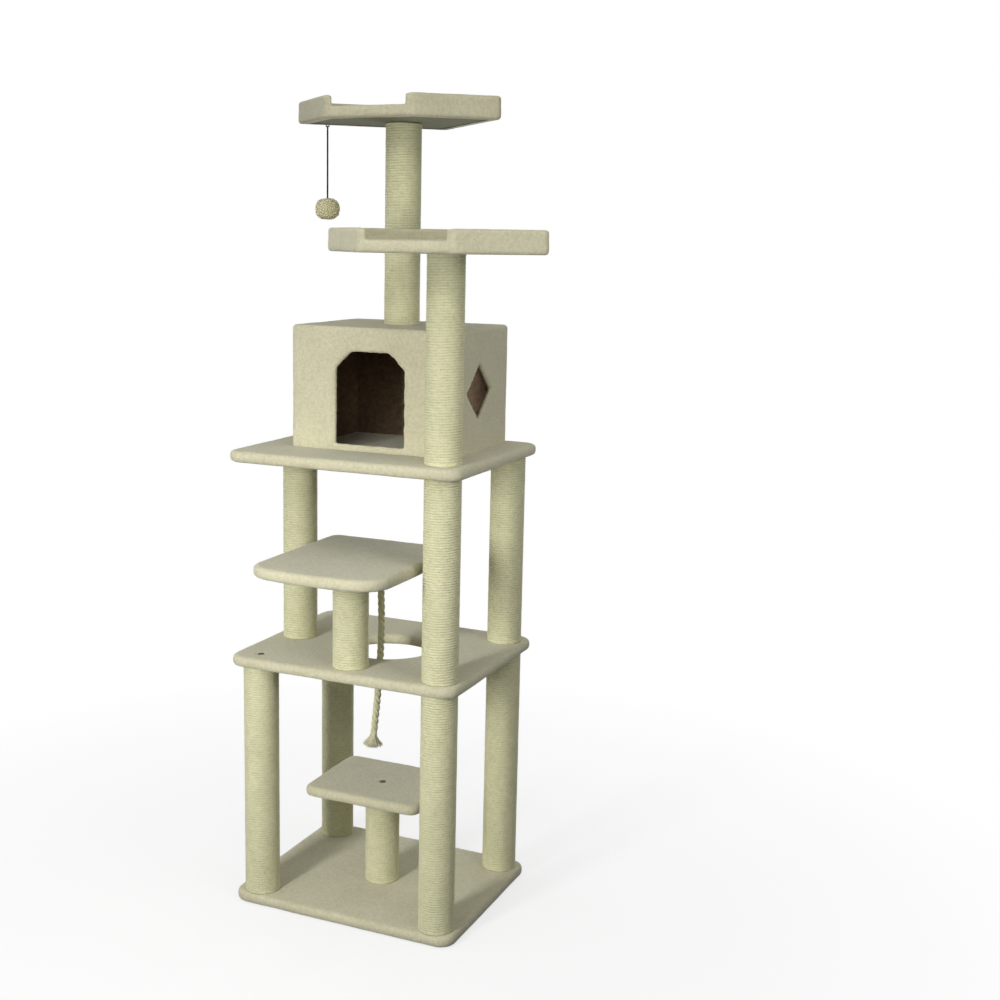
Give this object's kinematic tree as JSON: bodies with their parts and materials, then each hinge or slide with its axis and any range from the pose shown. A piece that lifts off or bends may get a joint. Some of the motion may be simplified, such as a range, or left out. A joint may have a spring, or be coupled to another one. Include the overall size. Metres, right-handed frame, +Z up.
{
  "type": "cat tree",
  "caption": "Tall plush cat tree with sisal-wound posts, platforms, steps, a house with door and window, raised perch trays, a hanging toy and a climbing rope.",
  "frame": {"origin": "centre of the base's underside, on the floor", "axes": "+X to the right along the front edge, +Y to the back, +Z up"},
  "size_m": [0.8212, 0.6914, 2.003],
  "materials": {
    "plush": "cream short-pile plush, matt",
    "sisal": "natural twisted sisal rope, matt",
    "board_wood": "raw pressed wood board",
    "paper_tube": "spiral wound paper tube",
    "steel": "dark zinc plated",
    "black_cord": "thin black elastic cord",
    "pompom": "cream yarn pompom"
  },
  "bodies": {
    "tree": {"base_board": "board_wood", "base_cover": "plush", "mid_board": "board_wood", "mid_cover": "plush", "upper_board": "board_wood", "upper_cover": "plush", "low_step_board": "board_wood", "low_step_cover": "plush", "high_step_board": "board_wood", "high_step_cover": "plush", "side_perch_board": "board_wood", "side_perch_cover": "plush", "top_perch_board": "board_wood", "top_perch_cover": "plush", "side_perch_rim": "board_wood", "top_perch_rim": "board_wood", "front_left_post_sisal": "sisal", "back_left_post_sisal": "sisal", "front_right_post_sisal": "sisal", "back_right_post_sisal": "sisal", "low_step_post_sisal": "sisal", "mid_left_post_sisal": "sisal", "mid_front_right_post_sisal": "sisal", "mid_back_right_post_sisal": "sisal", "high_step_post_sisal": "sisal", "side_perch_post_sisal": "sisal", "top_perch_post_sisal": "sisal", "condo_front": "board_wood", "condo_back": "board_wood", "condo_left": "board_wood", "condo_right": "board_wood", "condo_roof": "board_wood", "condo_cover": "plush", "post_tubes": "paper_tube", "post_plugs": "board_wood", "bolts": "steel", "joining_studs": "steel", "toy_staple": "steel", "rope_staple": "steel"},
    "toy_link": {"toy_eye": "steel"},
    "toy": {"toy_cord": "black_cord", "toy_ball": "pompom"},
    "rope_link": {"rope_eye": "steel"},
    "rope": {"rope": "sisal", "rope_tuft": "sisal"}
  },
  "joints": [
    {"name": "toy_swing_back", "type": "hinge", "parent": "tree", "child": "toy_link", "pos_m": [-0.184, 0.027, 1.94575], "axis": [1, 0, 0], "range_deg": [-60, 60]},
    {"name": "toy_swing_side", "type": "hinge", "parent": "toy_link", "child": "toy", "pos_m": [-0.184, 0.027, 1.94025], "axis": [0, 1, 0], "range_deg": [-35, 60]},
    {"name": "rope_swing_back", "type": "hinge", "parent": "tree", "child": "rope_link", "pos_m": [-0.006, -0.02, 0.88905], "axis": [1, 0, 0], "range_deg": [-8, 18]},
    {"name": "rope_swing_side", "type": "hinge", "parent": "rope_link", "child": "rope", "pos_m": [-0.006, -0.02, 0.87575], "axis": [0, 1, 0], "range_deg": [-11, 11]}
  ]
}
